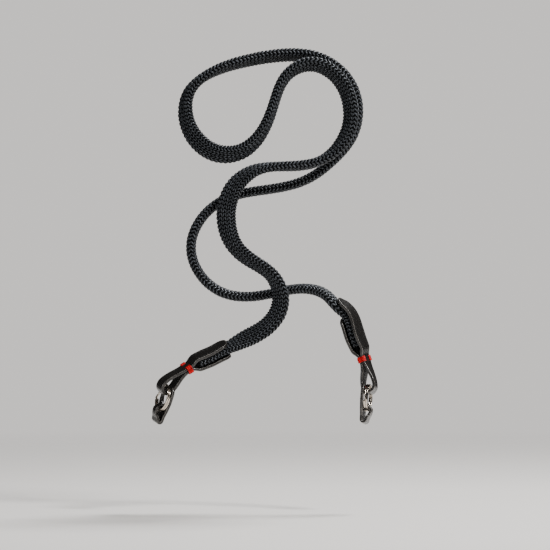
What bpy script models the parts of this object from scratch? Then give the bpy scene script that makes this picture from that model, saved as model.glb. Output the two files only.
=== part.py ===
"""Flat rope strap that stands in one long S above the two split rings at its ends.

Units are metres, +Z is up and +X runs from the left ring to the right one. The origin is the
centre of the left split ring. The strap is seen from the front by looking along +Y.

One curve, the route, runs from the eye of the left leather end to the eye of the right one.
The rope, the leather ends and their bindings all follow it. A station on the route has a
tangent, a face normal (out of the rope's flat face) and an across axis (along its width).
"""

from math import asin, cos, hypot, pi, radians, sin, sqrt

import bmesh
import bpy
import numpy as np
from mathutils import Matrix, Vector

# Rope
ROPE_WIDTH = 0.0130
ROPE_THICKNESS = 0.0062
HELD_THICKNESS = 0.0046
ROPE_SIDES = 16
ROPE_STEP = 0.0062
ROPE_SQUARENESS = 2.5

# Leather ends
LEATHER = 0.0019
LEATHER_CORNER = 0.0004
TAIL_WIDTH = 0.0140
TAIL_LENGTH = 0.0320
EYE_WIDTH = 0.0100
EYE_REACH = 0.0175
EYE_SLACK = 0.0010
TAIL_OPENING = 0.0080
TAIL_FLARE = 0.0190
ROPE_SETBACK = 0.0050
OUTER_TONGUE_LEFT = 0.0010
OUTER_TONGUE_RIGHT = 0.0110

# Thread that binds the neck of each leather end
THREAD = 0.0006
BINDING_LENGTH = 0.0030
BINDING_LEG = 0.0019

# Split rings, of flat steel wire wound twice
RING_OUTSIDE = 0.0180
RING_WIRE = 0.0012
RING_TURN_GAP = 0.0001
RING_STEP_ANGLE = radians(17.0)
RING_STATIONS = 76

# Ring guards, a folded leather strip each
GUARD_WIDTH = 0.0172
GUARD_FOOT_WIDTH = 0.0095
GUARD_RISE = 0.0098
GUARD_DROP = 0.0172
GUARD_FOLD = 0.0015
GUARD_TONGUE_WIDTH = 0.0054
GUARD_TONGUE_RISE = 0.0028
GUARD_TONGUE_TIP = 0.0012
GUARD_NOTCH_DEPTH = 0.0140

# Clearance between pieces that touch on the real strap
FIT_GAP = 0.0003
HELD_GAP = 0.00045
NOTCH_GAP = 0.0006
CROSSING_GAP = 0.0009

# Pose of the strap: where the ends stand and how far the rope reaches
RING_SPACING = 0.1340
FORM_SHARE = 0.903
FORM_WIDTH = RING_SPACING * FORM_SHARE
FORM_HEIGHT = 0.2260
STRAND_DEPTH = ROPE_WIDTH + CROSSING_GAP

# Each end turns about the vertical, and its ring leans inward and rolls its top to the front.
# The neck and the tails rise at an angle, and from the neck on the leather turns further.
ENDS = {
    "left": {
        "turn": radians(24.0),
        "lean": radians(14.0),
        "roll": radians(12.0),
        "neck": radians(41.0),
        "neck_turn": radians(28.0),
        "tails": radians(24.0),
        "tongue": OUTER_TONGUE_LEFT,
    },
    "right": {
        "turn": radians(13.0),
        "lean": radians(-3.0),
        "roll": radians(-9.0),
        "neck": radians(78.0),
        "neck_turn": radians(32.0),
        "tails": radians(67.0),
        "tongue": OUTER_TONGUE_RIGHT,
    },
}

# The rope's free run from the left tails to the right ones, a row for each bend.
# across: share of FORM_WIDTH from the left ring's centre. up: share of FORM_HEIGHT above it.
# back: share of STRAND_DEPTH behind it. twist: degrees that the upper face turns to the front.
ROUTE = [
    # name                across    up    back  twist
    ("leaves_left",       0.437,  0.167,   1.15,   52),
    ("lower_slope",       0.537,  0.196,   1.00,   57),
    ("lower_bend",        0.616,  0.242,   0.88,   55),
    ("under_crossing",    0.636,  0.291,   0.80,   50),
    ("lower_rise",        0.582,  0.357,   0.72,   32),
    ("middle_rise",       0.478,  0.396,   0.64,   36),
    ("left_belly",        0.382,  0.444,   0.54,   50),
    ("left_side",         0.344,  0.502,   0.44,   68),
    ("upper_crossing",    0.349,  0.563,   0.33,   70),
    ("shoulder",          0.397,  0.617,   0.24,   56),
    ("shoulder_top",      0.507,  0.659,   0.14,   22),
    ("flat_run",          0.669,  0.669,   0.04,   -5),
    ("right_start",       0.845,  0.684,  -0.05,    2),
    ("right_low",         0.956,  0.730,  -0.10,   28),
    ("right_belly",       1.010,  0.791,  -0.14,   38),
    ("right_side",        1.006,  0.860,  -0.17,   40),
    ("right_high",        0.951,  0.920,  -0.19,   37),
    ("inner_top",         0.797,  0.963,  -0.20,   31),
    ("inner_turn",        0.669,  0.930,  -0.20,   16),
    ("middle_descent",    0.603,  0.855,  -0.18,   10),
    ("long_descent",      0.535,  0.767,  -0.13,   22),
    ("left_loop_low",     0.425,  0.712,  -0.06,   40),
    ("left_loop_bottom",  0.290,  0.707,   0.02,   58),
    ("left_loop_out",     0.179,  0.748,   0.10,   55),
    ("left_loop_side",    0.123,  0.817,   0.18,   38),
    ("left_loop_high",    0.147,  0.889,   0.26,   18),
    ("left_loop_top",     0.249,  0.937,   0.34,   -4),
    ("top_left",          0.444,  0.974,   0.46,  -19),
    ("top_middle",        0.654,  0.992,   0.60,  -23),
    ("top_right",         0.838,  0.983,   0.70,  -22),
    ("behind_high",       0.981,  0.934,   0.76,  -16),
    ("behind_side",       1.052,  0.852,   0.80,  -10),
    ("behind_low",        1.026,  0.759,   0.84,   -6),
    ("back_run_start",    0.927,  0.691,   0.90,   -4),
    ("back_run",          0.776,  0.632,   1.00,    0),
    ("back_run_end",      0.535,  0.601,   1.10,    0),
    ("behind_crossing",   0.330,  0.574,   1.18,    0),
    ("left_turn",         0.201,  0.515,   1.22,    0),
    ("left_reach",        0.149,  0.436,   1.26,    0),
    ("left_return",       0.193,  0.361,   1.34,    2),
    ("lower_left",        0.319,  0.304,   1.46,    4),
    ("lower_run",         0.481,  0.292,   1.60,    2),
    ("lower_crossing",    0.632,  0.306,   1.62,    2),
    ("lower_right",       0.762,  0.315,   1.30,    6),
    ("toward_right",      0.881,  0.297,   0.84,   14),
    ("meets_right",       0.948,  0.261,   0.52,   16),
]

# Shape of the leather tails' rounded tips
TIP_STATIONS = 7
TIP_LAST_SHARE = 0.93


def clear_scene():
    """Leave nothing of the startup scene."""
    for thing in list(bpy.data.objects):
        bpy.data.objects.remove(thing, do_unlink=True)


def make_material(name, colour, roughness, metallic=0.0):
    """One Principled BSDF with the part's colour, roughness and metallic value."""
    material = bpy.data.materials.new(name)
    material.use_nodes = True
    shader = material.node_tree.nodes["Principled BSDF"]
    shader.inputs["Base Color"].default_value = (*colour, 1.0)
    shader.inputs["Roughness"].default_value = roughness
    shader.inputs["Metallic"].default_value = metallic
    material.diffuse_color = (*colour, 1.0)
    return material


def add_object(name, mesh, material, parent=None, matrix=None):
    """Link a mesh as a smooth shaded object, placed by its matrix under its parent."""
    mesh.shade_smooth()
    mesh.set_sharp_from_angle(angle=radians(42.0))
    mesh.materials.append(material)
    thing = bpy.data.objects.new(name, mesh)
    bpy.context.scene.collection.objects.link(thing)
    thing.parent = parent
    if matrix is not None:
        thing.matrix_local = matrix
    return thing


def unit(vectors):
    """Vectors scaled to length one, along the last axis."""
    return vectors / np.linalg.norm(vectors, axis=-1, keepdims=True)


def smooth_step(share):
    """0 to 1 with level ends."""
    share = np.clip(share, 0.0, 1.0)
    return share * share * (3.0 - 2.0 * share)


def natural_spline(knots, values):
    """A function of the knots' parameter that runs through the values with smooth bends."""
    count = len(knots)
    steps = np.diff(knots)
    rises = np.diff(values, axis=0) / steps[:, None]
    system = np.eye(count)
    right = np.zeros_like(values)
    for i in range(1, count - 1):
        system[i, i - 1 : i + 2] = steps[i - 1], 2.0 * (steps[i - 1] + steps[i]), steps[i]
        right[i] = 6.0 * (rises[i] - rises[i - 1])
    bends = np.linalg.solve(system, right)

    def at(where):
        where = np.atleast_1d(where)
        i = np.clip(np.searchsorted(knots, where) - 1, 0, count - 2)
        step = steps[i][:, None]
        ahead = (knots[i + 1] - where)[:, None]
        behind = (where - knots[i])[:, None]
        curve = (bends[i] * ahead**3 + bends[i + 1] * behind**3) / (6.0 * step)
        start = (values[i] / step - bends[i] * step / 6.0) * ahead
        end = (values[i + 1] / step - bends[i + 1] * step / 6.0) * behind
        return curve + start + end

    return at


def sweep_mesh(name, rings):
    """A closed skin over rings of points, with flat ends. Each ring turns the same way."""
    shape = bmesh.new()
    rows = [[shape.verts.new(point) for point in ring] for ring in rings]
    sides = len(rows[0])
    for row, following in zip(rows, rows[1:]):
        for i in range(sides):
            j = (i + 1) % sides
            shape.faces.new((row[i], row[j], following[j], following[i]))
    shape.faces.new(rows[0][::-1])
    shape.faces.new(rows[-1])
    bmesh.ops.recalc_face_normals(shape, faces=shape.faces)
    mesh = bpy.data.meshes.new(name)
    shape.to_mesh(mesh)
    shape.free()
    return mesh


def strip_rings(points, normals, across, widths, thickness, corner):
    """Rings of a flat strip: a rectangle with cut corners at each point of its middle line."""
    half = thickness / 2.0
    rings = []
    for point, normal, side, width in zip(points, normals, across, widths):
        reach = width / 2.0
        outline = (
            (reach, -half + corner),
            (reach, half - corner),
            (reach - corner, half),
            (corner - reach, half),
            (-reach, half - corner),
            (-reach, -half + corner),
            (corner - reach, -half),
            (reach - corner, -half),
        )
        rings.append([point + side * u + normal * v for u, v in outline])
    return rings


# The two ends


def end_frame(side):
    """Axes of an end: inward (toward the strap's middle), up and across (to the front)."""
    turn = ENDS[side]["turn"]
    mirror = 1.0 if side == "left" else -1.0
    inward = np.array((mirror * cos(turn), sin(turn), 0.0))
    across = np.array((mirror * sin(turn), -cos(turn), 0.0))
    return inward, np.array((0.0, 0.0, 1.0)), across


def ring_centre(side):
    """Centre of an end's split ring. The left one is the origin."""
    return np.array((0.0 if side == "left" else RING_SPACING, 0.0, 0.0))


def ring_axes(side):
    """The ring's axis (inward), its plane's front direction, and its top where the eye is."""
    inward, up, across = end_frame(side)
    lean, roll = ENDS[side]["lean"], ENDS[side]["roll"]
    top = (inward * sin(lean) + up * cos(lean)) * cos(roll) + across * sin(roll)
    front = np.cross(inward, top) if side == "left" else np.cross(top, inward)
    front = unit(front)
    axis = np.cross(top, front) if side == "left" else np.cross(front, top)
    return axis, front, top


def neck_across(side):
    """Across axis of the leather at the neck and the tails, toward the front."""
    turn, roll = ENDS[side]["neck_turn"], ENDS[side]["roll"]
    mirror = 1.0 if side == "left" else -1.0
    return np.array((mirror * sin(turn) * cos(roll), -cos(turn) * cos(roll), -sin(roll)))


def ring_radius():
    """Radius of the middle of the ring's wire."""
    return (RING_OUTSIDE - RING_WIRE) / 2.0


def eye_centre(side):
    """Middle of the leather eye, on the wire at the ring's top."""
    return ring_centre(side) + ring_axes(side)[2] * ring_radius()


def eye_bore():
    """Radius of the leather eye that clears the two turns of wire and their bend across it."""
    turns = hypot(RING_WIRE / 2.0, RING_WIRE + RING_TURN_GAP / 2.0)
    bend = ring_radius() - sqrt(ring_radius() ** 2 - (EYE_WIDTH / 2.0) ** 2)
    return turns + 0.8 * bend + FIT_GAP


def rising(side, angle, roll=0.0):
    """Direction inward and up at an angle above the horizontal, rolled to the front."""
    inward, up, across = end_frame(side)
    return inward * cos(angle) + (up * cos(roll) + across * sin(roll)) * sin(angle)


# The route


def end_points(side):
    """Eye, neck, and two points of the tails, from the ring toward the rope."""
    eye = eye_centre(side)
    neck = eye + rising(side, ENDS[side]["neck"], ENDS[side]["roll"]) * EYE_REACH
    tails = rising(side, ENDS[side]["tails"])
    return [eye, neck, neck + tails * TAIL_LENGTH / 2.0, neck + tails * TAIL_LENGTH]


def route_points():
    """Every point that the route runs through, eye to eye."""
    free = [
        np.array((across * FORM_WIDTH, back * STRAND_DEPTH, up * FORM_HEIGHT))
        for _, across, up, back, _ in ROUTE
    ]
    return np.array(end_points("left") + free + end_points("right")[::-1])


def front_axes(tangents):
    """For each tangent, the direction to the front and the one to the tangent's left."""
    front = np.array((0.0, -1.0, 0.0)) - tangents * (-tangents[:, 1:2])
    front = unit(front)
    return front, np.cross(front, tangents)


def end_twist(across, tangent):
    """Twist that lays the route's across axis along a given one."""
    front, left = front_axes(tangent[None, :])
    return np.arctan2(-across @ left[0], across @ front[0])


def end_twists(side, tangents):
    """Twists at the end's eye, neck and two points of its tails."""
    across = [ring_axes(side)[1]] + [neck_across(side)] * 3
    return [end_twist(axis, tangent) for axis, tangent in zip(across, tangents)]


class Route:
    """The route as positions and axes at any length along it."""

    def __init__(self):
        points = route_points()
        knots = np.concatenate(([0.0], np.cumsum(np.linalg.norm(np.diff(points, axis=0), axis=1))))
        place = natural_spline(knots, points)
        fine = np.linspace(0.0, knots[-1], 4001)
        places = place(fine)
        steps = np.linalg.norm(np.diff(places, axis=0), axis=1)
        self.lengths = np.concatenate(([0.0], np.cumsum(steps)))
        self.length = self.lengths[-1]
        tangents = unit(np.gradient(places, self.lengths, axis=0))
        at_knots = np.searchsorted(fine, knots).clip(0, len(fine) - 1)
        twists = end_twists("left", tangents[at_knots[:4]])
        twists += [radians(row[4]) for row in ROUTE]
        twists += end_twists("right", tangents[at_knots[:-5:-1]])[::-1]
        twist = natural_spline(knots, np.array(twists)[:, None])(fine)
        front, left = front_axes(tangents)
        self.table = np.hstack(
            (
                places,
                tangents,
                left * np.cos(twist) + front * np.sin(twist),
                front * np.cos(twist) - left * np.sin(twist),
            )
        )
        self.neck = {
            "left": self.lengths[at_knots[1]],
            "right": self.length - self.lengths[at_knots[-2]],
        }

    def at(self, lengths):
        """Positions, tangents, face normals and across axes at lengths from the left eye."""
        rows = [np.interp(lengths, self.lengths, column) for column in self.table.T]
        rows = np.array(rows).T
        return rows[:, 0:3], unit(rows[:, 3:6]), unit(rows[:, 6:9]), unit(rows[:, 9:12])

    def from_end(self, side, lengths):
        """The same at lengths from one end's eye."""
        lengths = np.atleast_1d(lengths)
        return self.at(lengths if side == "left" else self.length - lengths)


# Rope


def rope_outline():
    """The rope's section, a flat oval with full edges, as shares of its half sizes."""
    outline = []
    for i in range(ROPE_SIDES):
        angle = 2.0 * pi * (i + 0.5) / ROPE_SIDES
        c, s = cos(angle), sin(angle)
        power = 2.0 / ROPE_SQUARENESS
        outline.append((np.sign(c) * abs(c) ** power, np.sign(s) * abs(s) ** power))
    return outline


def rope_size(route, length):
    """Half width and half thickness, pinched where the tails close on the rope's ends."""
    beyond = min(length - route.neck["left"], route.length - length - route.neck["right"])
    room = layer_offset(beyond - FIT_GAP * 3.0) - LEATHER / 2.0 - HELD_GAP
    width = min(ROPE_WIDTH, layer_width(beyond) * ROPE_WIDTH / TAIL_WIDTH)
    return width / 2.0, min(ROPE_THICKNESS / 2.0, room)


def rope_lengths(route):
    """Lengths of the rope's stations, closer together between the tails."""
    ends = []
    for side in ("left", "right"):
        start, opened, clear = (
            route.neck[side] + beyond for beyond in (ROPE_SETBACK, TAIL_OPENING, TAIL_LENGTH)
        )
        pinched = np.linspace(start, opened, 4)[:-1]
        held = np.linspace(opened, clear + ROPE_STEP, round((clear - opened) / ROPE_STEP) * 2 + 3)
        ends.append(np.concatenate((pinched, held)))
    first, last = ends[0], (route.length - ends[1])[::-1]
    count = round((last[0] - first[-1]) / ROPE_STEP)
    return np.concatenate((first, np.linspace(first[-1], last[0], count + 1)[1:-1], last))


def make_rope(route, material):
    """The rope from inside one pair of tails to inside the other."""
    lengths = rope_lengths(route)
    points, _, normals, across = route.at(lengths)
    rings = []
    for length, point, normal, side in zip(lengths, points, normals, across):
        width, thickness = rope_size(route, length)
        rings.append([point + side * (u * width) + normal * (v * thickness) for u, v in rope_outline()])
    return add_object("flat_rope", sweep_mesh("flat_rope", rings), material)


# Leather ends


def held_half(beyond_neck):
    """Half the rope's thickness where the tails press it flat, whole again past their tips."""
    swell = smooth_step((beyond_neck / TAIL_LENGTH - 0.65) / 0.5)
    return (HELD_THICKNESS + (ROPE_THICKNESS - HELD_THICKNESS) * swell) / 2.0


def layer_offset(beyond_neck):
    """How far a leather layer's middle lies from the route, at a length beyond the neck."""
    closed = (LEATHER + FIT_GAP) / 2.0
    opened = held_half(beyond_neck) + HELD_GAP + LEATHER / 2.0
    share = (beyond_neck - BINDING_LENGTH * 0.6) / (TAIL_OPENING - BINDING_LENGTH * 0.6)
    spread = closed + (opened - closed) * smooth_step(share)
    rounded = eye_bore() + LEATHER / 2.0
    toward_eye = (-beyond_neck - BINDING_LENGTH * 0.6) / (EYE_REACH - BINDING_LENGTH * 0.6)
    return spread + (rounded - closed) * smooth_step(toward_eye)


def layer_width(beyond_neck):
    """Width of the leather at a length beyond the neck: narrow eye, wide tails."""
    share = (beyond_neck - BINDING_LENGTH * 0.6) / TAIL_FLARE
    return EYE_WIDTH + (TAIL_WIDTH - EYE_WIDTH) * smooth_step(share)


def layer_stations(route, side, face, length):
    """One layer from the eye's side to its tail's tip: middle points and widths."""
    neck = route.neck[side]
    rounding = TAIL_WIDTH / 2.0
    body = np.linspace(0.0, neck + length - rounding, 15)
    angles = np.linspace(0.0, asin(TIP_LAST_SHARE), TIP_STATIONS)[1:]
    tip = body[-1] + rounding * np.sin(angles)
    lengths = np.concatenate((body, tip))
    points, _, normals, _ = route.from_end(side, lengths)
    offsets = layer_offset(lengths - neck)
    widths = layer_width(lengths - neck)
    widths[len(body) :] = TAIL_WIDTH * np.cos(angles)
    return points + normals * (face * offsets)[:, None], widths


def make_leather_end(route, side, material):
    """A strip folded round the ring's wire, with both tails on the rope."""
    inner, inner_widths = layer_stations(route, side, -1.0, TAIL_LENGTH)
    outer, outer_widths = layer_stations(route, side, 1.0, TAIL_LENGTH + ENDS[side]["tongue"])
    middle, tangents, normals, across = (rows[0] for rows in route.from_end(side, 0.0))
    away = -tangents if side == "left" else tangents
    radius = eye_bore() + LEATHER / 2.0
    turns = np.linspace(0.0, pi, 11)[1:-1]
    reach = radius + EYE_SLACK
    fold = [middle + away * (reach * sin(t)) - normals * (radius * cos(t)) for t in turns]
    points = np.vstack((inner[::-1], fold, outer))
    widths = np.concatenate((inner_widths[::-1], [EYE_WIDTH] * len(fold), outer_widths))
    sides = np.tile(across, (len(points), 1))
    for rows, first in ((len(inner), 0), (len(outer), len(points) - len(outer))):
        for i in range(first, first + rows):
            nearest = route.table[np.argmin(np.linalg.norm(route.table[:, :3] - points[i], axis=1))]
            sides[i] = nearest[9:12]
    along = unit(np.gradient(points, axis=0))
    sides = unit(sides - along * np.sum(sides * along, axis=1)[:, None])
    faces = np.cross(along, sides)
    name = f"leather_end_{side}"
    rings = strip_rings(points, faces, sides, widths, LEATHER, LEATHER_CORNER)
    return add_object(name, sweep_mesh(name, rings), material)


# Thread bindings


def make_binding(route, side, edge, material):
    """Thread wound over one edge of the neck, across both leather layers."""
    middle, tangent, normal, across = (
        rows[0] for rows in route.from_end(side, route.neck[side])
    )
    out = across if edge == "front" else -across
    reach = layer_width(0.0) / 2.0
    height = LEATHER + FIT_GAP * 2.0 + THREAD / 2.0
    bulge = reach + FIT_GAP * 1.5 + THREAD / 2.0
    rounding = THREAD * 1.2
    corners = [(reach - BINDING_LEG, height)]
    for angle in np.linspace(pi / 2.0, 0.0, 4):
        corners.append((bulge + rounding * (cos(angle) - 1.0), height + rounding * (sin(angle) - 1.0)))
    corners += [(u, -v) for u, v in corners[::-1]]
    points = np.array([middle + out * u + normal * v for u, v in corners])
    along = unit(np.gradient(points, axis=0))
    sides = np.tile(tangent, (len(points), 1))
    faces = np.cross(along, sides)
    widths = [BINDING_LENGTH] * len(points)
    name = f"binding_{side}_{edge}"
    rings = strip_rings(points, faces, sides, widths, THREAD, THREAD * 0.3)
    return add_object(name, sweep_mesh(name, rings), material)


# Split rings


def add_seat(side):
    """Empty at an end's ring centre: X inward, Z to the ring's top."""
    axis, _, up = ring_axes(side)
    depth = np.cross(up, axis)
    seat = bpy.data.objects.new(f"ring_seat_{side}", None)
    bpy.context.scene.collection.objects.link(seat)
    turn = Matrix((axis, depth, up)).transposed().to_4x4()
    seat.matrix_world = Matrix.Translation(Vector(ring_centre(side))) @ turn
    return seat


def make_split_ring(side, seat, material):
    """Two turns of wire side by side, joined by one short step, in the seat's YZ plane."""
    pitch = RING_WIRE + RING_TURN_GAP
    corner = RING_WIRE * 0.24
    start, end = RING_STEP_ANGLE, 4.0 * pi - RING_STEP_ANGLE
    angles = np.linspace(start, end, RING_STATIONS)
    shift = smooth_step((angles - 2.0 * pi + RING_STEP_ANGLE) / (2.0 * RING_STEP_ANGLE))
    points = []
    sides = []
    faces = []
    for angle, moved in zip(angles, shift):
        spoke = np.array((0.0, cos(angle), sin(angle)))
        points.append(spoke * ring_radius() + np.array((pitch * (moved - 0.5), 0.0, 0.0)))
        sides.append(np.array((1.0, 0.0, 0.0)))
        faces.append(spoke)
    widths = [RING_WIRE] * len(points)
    name = f"split_ring_{side}"
    rings = strip_rings(points, faces, sides, widths, RING_WIRE, corner)
    return add_object(name, sweep_mesh(name, rings), material, seat)


# Ring guards


def guard_stations():
    """Middle line of the guard in the seat's XZ plane, and its width, from horns to tongue."""
    turns = 2.0 * RING_WIRE + RING_TURN_GAP
    off = turns / 2.0 + FIT_GAP * 1.5 + LEATHER / 2.0
    wire = -ring_radius()
    fold = -GUARD_DROP + GUARD_FOLD + LEATHER / 2.0
    inside = off - LEATHER - FIT_GAP
    radius = GUARD_WIDTH * 0.36
    rows = []
    for angle in np.linspace(asin(0.86), 0.0, 5):
        width = GUARD_WIDTH - 2.0 * radius * (1.0 - cos(angle))
        rows.append((off, GUARD_RISE - radius + radius * sin(angle), width))
    for share in (0.3, 0.6, 0.85, 1.0):
        height = (GUARD_RISE - radius) * (1.0 - share) + fold * share
        narrowing = (GUARD_WIDTH - GUARD_FOOT_WIDTH) * smooth_step((share - 0.3) / 0.7)
        rows.append((off, height, GUARD_WIDTH - narrowing))
    for angle in np.linspace(0.0, pi, 7)[1:]:
        x = off - GUARD_FOLD * (1.0 - cos(angle))
        rows.append((x, fold - GUARD_FOLD * sin(angle), GUARD_FOOT_WIDTH))
    low = rows[-1][0]
    for share in (0.35, 0.7, 1.0):
        x = low + (-off - low) * smooth_step(share)
        height = fold + (wire - RING_WIRE * 0.7 - fold) * share
        narrowing = (GUARD_FOOT_WIDTH - GUARD_TONGUE_WIDTH) * smooth_step(share)
        rows.append((x, height, GUARD_FOOT_WIDTH - narrowing))
    rise = RING_WIRE * 0.7 + GUARD_TONGUE_RISE
    for share in (0.2, 0.4, 0.55, 0.7, 0.85, 1.0):
        x = -off + (inside + off) * smooth_step((share - 0.4) / 0.6)
        height = wire - RING_WIRE * 0.7 + (rise + RING_WIRE * 0.7) * share
        rows.append((x, height, GUARD_TONGUE_WIDTH))
    rows.append((inside, rows[-1][1] + GUARD_TONGUE_TIP, GUARD_TONGUE_WIDTH * 0.72))
    return rows


def add_notch_cutter(side, seat):
    """Cutter for the notch between the guard's horns, with a round floor."""
    width = EYE_WIDTH + 2.0 * NOTCH_GAP
    radius = width / 2.0
    floor = GUARD_RISE - GUARD_NOTCH_DEPTH + radius
    top = GUARD_RISE + radius
    outline = [(-radius, top)]
    for angle in np.linspace(pi, 2.0 * pi, 13):
        outline.append((radius * cos(angle), floor + radius * sin(angle)))
    outline.append((radius, top))
    rings = [[Vector((x, y, z)) for y, z in outline] for x in (LEATHER * 0.2, LEATHER * 4.0)]
    cutter = bpy.data.objects.new(
        f"notch_cutter_{side}", sweep_mesh(f"notch_cutter_{side}", rings)
    )
    bpy.context.scene.collection.objects.link(cutter)
    cutter.parent = seat
    cutter.hide_render = True
    cutter.display_type = "WIRE"
    return cutter


def make_ring_guard(side, seat, material):
    """Leather strip between the ring and what it hangs on, its foot folded round the wire."""
    rows = guard_stations()
    points = np.array([(x, 0.0, z) for x, z, _ in rows])
    along = unit(np.gradient(points, axis=0))
    sides = np.tile((0.0, 1.0, 0.0), (len(rows), 1))
    faces = np.cross(along, sides)
    widths = [row[2] for row in rows]
    name = f"ring_guard_{side}"
    rings = strip_rings(points, faces, sides, widths, LEATHER, LEATHER_CORNER)
    guard = add_object(name, sweep_mesh(name, rings), material, seat)
    cut = guard.modifiers.new("Notch", "BOOLEAN")
    cut.operation = "DIFFERENCE"
    cut.solver = "EXACT"
    cut.object = add_notch_cutter(side, seat)
    return guard


def main():
    clear_scene()
    rope = make_material("braided_rope", (0.012, 0.013, 0.016), 0.62)
    leather = make_material("black_leather", (0.022, 0.020, 0.018), 0.45)
    thread = make_material("red_thread", (0.78, 0.015, 0.010), 0.55)
    steel = make_material("ring_steel", (0.63, 0.59, 0.53), 0.22, 1.0)
    route = Route()
    make_rope(route, rope)
    for side in ("left", "right"):
        make_leather_end(route, side, leather)
        for edge in ("front", "back"):
            make_binding(route, side, edge, thread)
        seat = add_seat(side)
        make_split_ring(side, seat, steel)
        make_ring_guard(side, seat, leather)


main()
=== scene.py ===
"""Looks of the flat rope strap: braid, stitched leather, wound thread and polished rings.

Metres, +Z up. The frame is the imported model, whose origin is the left split ring's centre.
The route's points and the first sizes below are those of the part's own source.
"""

from math import asin, cos, hypot, pi, radians, sin, sqrt

import bmesh
import bpy
import numpy as np
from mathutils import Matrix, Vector


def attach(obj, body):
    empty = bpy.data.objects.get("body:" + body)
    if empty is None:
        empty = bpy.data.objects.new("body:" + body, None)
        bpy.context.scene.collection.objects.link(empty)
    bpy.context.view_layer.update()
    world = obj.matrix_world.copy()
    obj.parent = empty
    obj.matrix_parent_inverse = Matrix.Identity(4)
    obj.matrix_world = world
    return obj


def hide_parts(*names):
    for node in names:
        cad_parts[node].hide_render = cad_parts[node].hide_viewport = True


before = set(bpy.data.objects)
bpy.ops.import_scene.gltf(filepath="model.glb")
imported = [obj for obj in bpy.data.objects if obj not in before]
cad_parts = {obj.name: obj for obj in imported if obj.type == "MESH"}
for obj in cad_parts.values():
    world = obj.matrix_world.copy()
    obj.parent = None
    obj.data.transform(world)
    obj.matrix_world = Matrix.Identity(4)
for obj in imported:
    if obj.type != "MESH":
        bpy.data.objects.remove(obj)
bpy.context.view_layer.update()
rng = np.random.default_rng(seed=7)

# Sizes shared with the part
ROPE_WIDTH = 0.0130
ROPE_THICKNESS = 0.0062
HELD_THICKNESS = 0.0046
ROPE_SQUARENESS = 2.5
LEATHER = 0.0019
TAIL_WIDTH = 0.0140
TAIL_LENGTH = 0.0320
EYE_WIDTH = 0.0100
EYE_REACH = 0.0175
EYE_SLACK = 0.0010
TAIL_OPENING = 0.0080
TAIL_FLARE = 0.0190
ROPE_SETBACK = 0.0050
THREAD = 0.0006
BINDING_LENGTH = 0.0030
BINDING_LEG = 0.0019
RING_OUTSIDE = 0.0180
RING_WIRE = 0.0012
RING_TURN_GAP = 0.0001
RING_STEP_ANGLE = radians(17.0)
FIT_GAP = 0.0003
HELD_GAP = 0.00045
CROSSING_GAP = 0.0009
RING_SPACING = 0.1340
FORM_SHARE = 0.903
FORM_WIDTH = RING_SPACING * FORM_SHARE
FORM_HEIGHT = 0.2260
STRAND_DEPTH = ROPE_WIDTH + CROSSING_GAP

# Shares that the part uses: half of the neck's closed stretch, how much of the ring's bend the
# eye leaves room for, and where the pinched rope swells again along the tails
CLOSED_REACH = BINDING_LENGTH * 0.6
EYE_BEND_SHARE = 0.8
SWELL_START = 0.65
SWELL_SPAN = 0.5

ENDS = {
    "left": {
        "turn": radians(24.0),
        "lean": radians(14.0),
        "roll": radians(12.0),
        "neck": radians(41.0),
        "neck_turn": radians(28.0),
        "tails": radians(24.0),
        "tongue": 0.0010,
    },
    "right": {
        "turn": radians(13.0),
        "lean": radians(-3.0),
        "roll": radians(-9.0),
        "neck": radians(78.0),
        "neck_turn": radians(32.0),
        "tails": radians(67.0),
        "tongue": 0.0110,
    },
}

# The rope's free run: share of FORM_WIDTH across, share of FORM_HEIGHT up, share of
# STRAND_DEPTH back, and degrees that the upper face turns to the front.
ROUTE = [
    (0.437, 0.167, 1.15, 52),
    (0.537, 0.196, 1.00, 57),
    (0.616, 0.242, 0.88, 55),
    (0.636, 0.291, 0.80, 50),
    (0.582, 0.357, 0.72, 32),
    (0.478, 0.396, 0.64, 36),
    (0.382, 0.444, 0.54, 50),
    (0.344, 0.502, 0.44, 68),
    (0.349, 0.563, 0.33, 70),
    (0.397, 0.617, 0.24, 56),
    (0.507, 0.659, 0.14, 22),
    (0.669, 0.669, 0.04, -5),
    (0.845, 0.684, -0.05, 2),
    (0.956, 0.730, -0.10, 28),
    (1.010, 0.791, -0.14, 38),
    (1.006, 0.860, -0.17, 40),
    (0.951, 0.920, -0.19, 37),
    (0.797, 0.963, -0.20, 31),
    (0.669, 0.930, -0.20, 16),
    (0.603, 0.855, -0.18, 10),
    (0.535, 0.767, -0.13, 22),
    (0.425, 0.712, -0.06, 40),
    (0.290, 0.707, 0.02, 58),
    (0.179, 0.748, 0.10, 55),
    (0.123, 0.817, 0.18, 38),
    (0.147, 0.889, 0.26, 18),
    (0.249, 0.937, 0.34, -4),
    (0.444, 0.974, 0.46, -19),
    (0.654, 0.992, 0.60, -23),
    (0.838, 0.983, 0.70, -22),
    (0.981, 0.934, 0.76, -16),
    (1.052, 0.852, 0.80, -10),
    (1.026, 0.759, 0.84, -6),
    (0.927, 0.691, 0.90, -4),
    (0.776, 0.632, 1.00, 0),
    (0.535, 0.601, 1.10, 0),
    (0.330, 0.574, 1.18, 0),
    (0.201, 0.515, 1.22, 0),
    (0.149, 0.436, 1.26, 0),
    (0.193, 0.361, 1.34, 2),
    (0.319, 0.304, 1.46, 4),
    (0.481, 0.292, 1.60, 2),
    (0.632, 0.306, 1.62, 2),
    (0.762, 0.315, 1.30, 6),
    (0.881, 0.297, 0.84, 14),
    (0.948, 0.261, 0.52, 16),
]

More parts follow.
